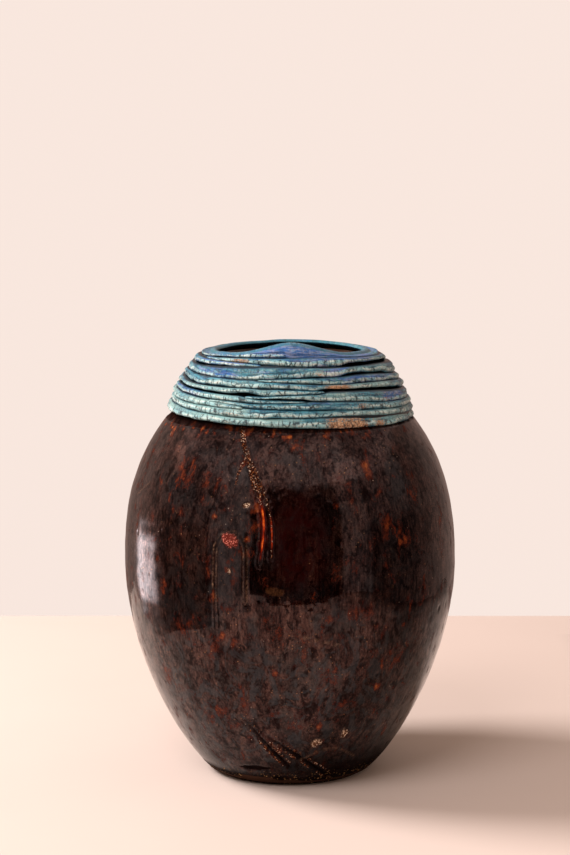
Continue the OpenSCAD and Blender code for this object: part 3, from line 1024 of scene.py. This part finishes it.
def make_rim(name, line, material):
    """The topmost strip: a bead, a smooth band leaning in above it, and a soft lip that caps the neck."""
    character = STRIP_CHARACTER[RIM_NUMBER]
    azimuth = line.azimuth
    ring = Ring(azimuth)
    wander = 0.3 * ring.noise(12, 41) + 0.15 * ring.noise(4, 42)
    low = line.low + 0.1 + bands(azimuth, character["gap"])
    high = line.high + 0.25 * ring.noise(15, 43)
    outer = line.outer + wander
    apart = 1 - bands(azimuth, character["joined"])
    bead = np.minimum(1.3, (high - low) / 3) * (0.4 + 0.6 * apart)
    lip = line.inner + 4.2
    ring.add(line.inner, low + 0.2, deep=1, across=-8)
    ring.add(outer - bead - 1.2, low, deep=1, across=-4)
    ring.add_bead(
        line, outer, low, bead, RIM_NUMBER, 180,
        ticked=apart, lit=0.2 + 0.7 * apart, shaded=0.3 + 0.7 * apart,
    )
    foot_r, foot_z = outer - bead * 0.6, low + bead * BEAD_TOP
    for i in range(1, RIM_POINTS):
        t = i / RIM_POINTS
        bulge = 0.6 * math.sin(math.pi * t) - 0.5 * math.exp(-((t - 0.1) / 0.1) ** 2)
        ripple = 0.25 * ring.noise(9, 181, 3 * t) + 0.1 * ring.noise(3, 182, 6 * t)
        ring.add(
            foot_r + (lip - foot_r) * t ** 1.4 + bulge + ripple, foot_z + (high - 1.4 - foot_z) * t,
            crest=0.15, across=4 + 8 * t, lip=ease(0.85, 1.05, t),
        )
    for i, _, c, s in arc(10, 170, 7):
        radius, height = line.inner + 2.1 + 2.1 * c, high - 1.5 + 1.5 * s
        ring.add(radius, height, crest=0.4 * max(s, 0) ** 2, across=12 + i * 0.6, lip=1)
    # The rim's inner wall gets some painted shade.
    ring.add(line.inner, high - 3.0, deep=0.2, across=18)
    ring.add(line.inner, (high + low) / 2, deep=0.5, across=20)
    return ring.finish(name, line, character, RIM_NUMBER, material)


# ---------------------------------------------------------------- build the vase

def ride(piece, node_name):
    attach(piece, "root")
    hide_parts(node_name)


ride(make_body(body_glaze()), "body")
collar_material = strip_glaze("strip_glaze", 0.0)
lines = [Outline(node_name) for node_name in (*STRIPS, "rim_strip")]
for number, node_name in enumerate(STRIPS, 1):
    line = lines[number - 1]
    line.reach_up(lines[number:])
    ride(make_strip(f"glazed_strip_{number:02d}", line, number, collar_material), node_name)
ride(make_rim("glazed_rim", lines[-1], strip_glaze("rim_glaze", 0.09)), "rim_strip")


# ---------------------------------------------------------------- studio

# The pale floor. Its near edge runs at a slant, and the glaze mirrors the dark in front of it.
FLOOR_CORNERS = (
    (-0.20, -0.46), (-0.05, -0.41), (0.10, -0.385), (0.18, -0.40), (0.30, -0.45),
    (0.40, -0.42), (0.40, 0.32), (-0.37, 0.32), (-0.23, 0.0),
)
SURROUND_CORNERS = ((-1.6, -1.6), (1.6, -1.6), (1.6, 0.38), (-1.6, 0.38))
SURROUND_DROP = 0.0001
SLAB_DEPTH = 0.02


def floor_material(name, colour, painted_shade_east=False):
    """A pale floor. If asked, painted shade darkens it to the right, so that the glaze mirrors no hard line
    there.
    """
    material, t, shader = new_glaze(name)
    where = millimetres(t)
    mottle = t.noise(where, 0.004, 3.0)
    pale = t.mix(t.ramp(mottle, 0.3, 0.7), [*(0.96 * c for c in colour), 1], [*colour, 1])
    if painted_shade_east:
        east = t.node("SeparateXYZ", {0: where}).outputs[0]
        # Painted shade: the floor darkens towards the right.
        pale = t.mix(t.ramp(east, 190, 400), pale, (0.06, 0.045, 0.04, 1))
    t.fill(shader, {"Base Color": pale, "Roughness": 0.6, "Specular IOR Level": 0.1})
    return material


def slab(name, corners, top, material):
    points = np.array([(x, y, z) for z in (top, top - SLAB_DEPTH) for x, y in corners]) / MM
    n = len(corners)
    faces = [tuple(range(n)), tuple(range(2 * n - 1, n - 1, -1))]
    faces += [(i, i + n, (i + 1) % n + n, (i + 1) % n) for i in range(n)]
    made = make_object(name, points, faces, {}, material)
    made.data.polygons.foreach_set("use_smooth", np.zeros(n + 2, bool))
    return made


LIGHT_AIM = Vector((0, 0, 0.12))


def soft_light(name, azimuth, elevation, distance, size, power, colour):
    """An area light that looks at the vase from the given direction. The glaze doesn't mirror it."""
    data = bpy.data.lights.new(name, "AREA")
    data.shape, data.size, data.energy, data.color = "DISK", size, power, colour
    lamp = bpy.data.objects.new(name, data)
    a, e = math.radians(azimuth), math.radians(elevation)
    away = Vector((math.sin(a) * math.cos(e), -math.cos(a) * math.cos(e), math.sin(e)))
    lamp.location = LIGHT_AIM + away * distance
    lamp.rotation_euler = away.to_track_quat("Z", "Y").to_euler()
    lamp.visible_camera = False
    lamp.visible_glossy = False
    bpy.context.scene.collection.objects.link(lamp)


# Panels that the glaze mirrors: azimuth and elevation from and to, softness of the edge, and brightness
FRONT_PANELS = [
    (-180, 180, 32, 100, 5, 0.52),
    (-75, 62, 36, 60, 5, 0.40),
    (-57, -28, -60, 40, 1.2, 0.62),
    (36, 58, -60, 40, 1.5, 0.46),
    (-104, -57, 8, 40, 6, 0.40),
    (58, 100, 10, 40, 6, 0.40),
    (58, 100, -60, 10, 6, 0.10),
]
FRONT_TINT = (1.0, 0.88, 0.83, 1)
BACK_PANELS = [
    (-104, -57, -60, 8, 6, 0.22),
    (-140, -104, -60, 36, 5, 0.62),
    (-180, -140, -60, 36, 6, 0.32),
    (-120, -96, 24, 38, 5, 0.90),
    (100, 180, -60, 36, 8, 0.34),
]
BACK_TINT = (1.0, 0.66, 0.55, 1)
WINDOW = (-130, -107, -17.5, -5, 3.2, 1.0)
WINDOW_COLOUR = (5.6, 5.2, 5.4, 1)
# What the glaze mirrors where there is no panel, what lights everything softly, and what the camera sees
UNLIT_COLOUR = (0.015, 0.012, 0.011, 1)
AMBIENT_COLOUR = (0.44, 0.345, 0.28, 1)
BACKDROP_COLOUR = (0.945, 0.80, 0.73, 1)


def make_world():
    """A pale backdrop for the camera, soft ambient light, and panels of light for the glaze to mirror."""
    world = bpy.data.worlds.new("studio")
    world.use_nodes = True
    bpy.context.scene.world = world
    t = Tree(world.node_tree)
    direction = t.node("TexCoord").outputs["Generated"]
    xyz = t.node("SeparateXYZ", {0: direction}).outputs
    azimuth = t.times(t.math("ARCTAN2", xyz[0], t.times(xyz[1], -1.0)), math.degrees(1))
    elevation = t.times(t.math("ARCSINE", xyz[2]), math.degrees(1))

    def panel(first, last, low, high, soft, amount):
        shape = amount
        edges = [(elevation, low, 1), (elevation, high, -1)]
        if first > -180:
            edges.append((azimuth, first, 1))
        if last < 180:
            edges.append((azimuth, last, -1))
        for value, at, way in edges:
            shape = t.times(t.ramp(value, at - way * soft, at + way * soft, smooth=True), shape)
        return shape

    mirrored = UNLIT_COLOUR
    for panels, tint in ((FRONT_PANELS, FRONT_TINT), (BACK_PANELS, BACK_TINT), ([WINDOW], WINDOW_COLOUR)):
        light = 0.0
        for values in panels:
            light = t.plus(light, panel(*values))
        mirrored = t.mix(1.0, mirrored, t.mix(1.0, tint, light, "MULTIPLY"), "ADD")
    rays = t.node("LightPath").outputs
    shown = t.mix(rays["Is Glossy Ray"], AMBIENT_COLOUR, mirrored)
    shown = t.mix(rays["Is Camera Ray"], shown, BACKDROP_COLOUR)
    background = t.node("Background", {"Color": shown, "Strength": 1.0})
    output = t.node("OutputWorld")
    t.put(output.inputs["Surface"], background.outputs[0])


FLOOR_COLOUR = (0.76, 0.61, 0.55)
slab("floor", FLOOR_CORNERS, 0.0, floor_material("pale_floor", FLOOR_COLOUR, painted_shade_east=True))
surround_material = floor_material("pale_surround", FLOOR_COLOUR)
surround = slab("floor_surround", SURROUND_CORNERS, -SURROUND_DROP, surround_material)
surround.visible_glossy = False
make_world()
LIGHT_COLOUR = (1.0, 0.97, 0.95)
# Azimuth, elevation, distance, size and power of each light
KEY_LIGHT = (-100, 40, 1.9, 0.75, 48)
FILL_LIGHT = (-30, 45, 1.7, 1.0, 12)
soft_light("key", *KEY_LIGHT, LIGHT_COLOUR)
soft_light("fill", *FILL_LIGHT, LIGHT_COLOUR)

CAMERA_LENS = 88.53
CAMERA_SENSOR = 36
CAMERA_PLACE = (-0.00265, -1.1589, 0.3439)
CAMERA_TILT_DEG = 82.52
camera_data = bpy.data.cameras.new("camera")
camera_data.lens = CAMERA_LENS
camera_data.sensor_width = CAMERA_SENSOR
camera = bpy.data.objects.new("camera", camera_data)
camera.location = CAMERA_PLACE
camera.rotation_euler = (math.radians(CAMERA_TILT_DEG), 0, 0)
bpy.context.scene.collection.objects.link(camera)
bpy.context.scene.camera = camera
bpy.context.scene.view_settings.view_transform = "Standard"
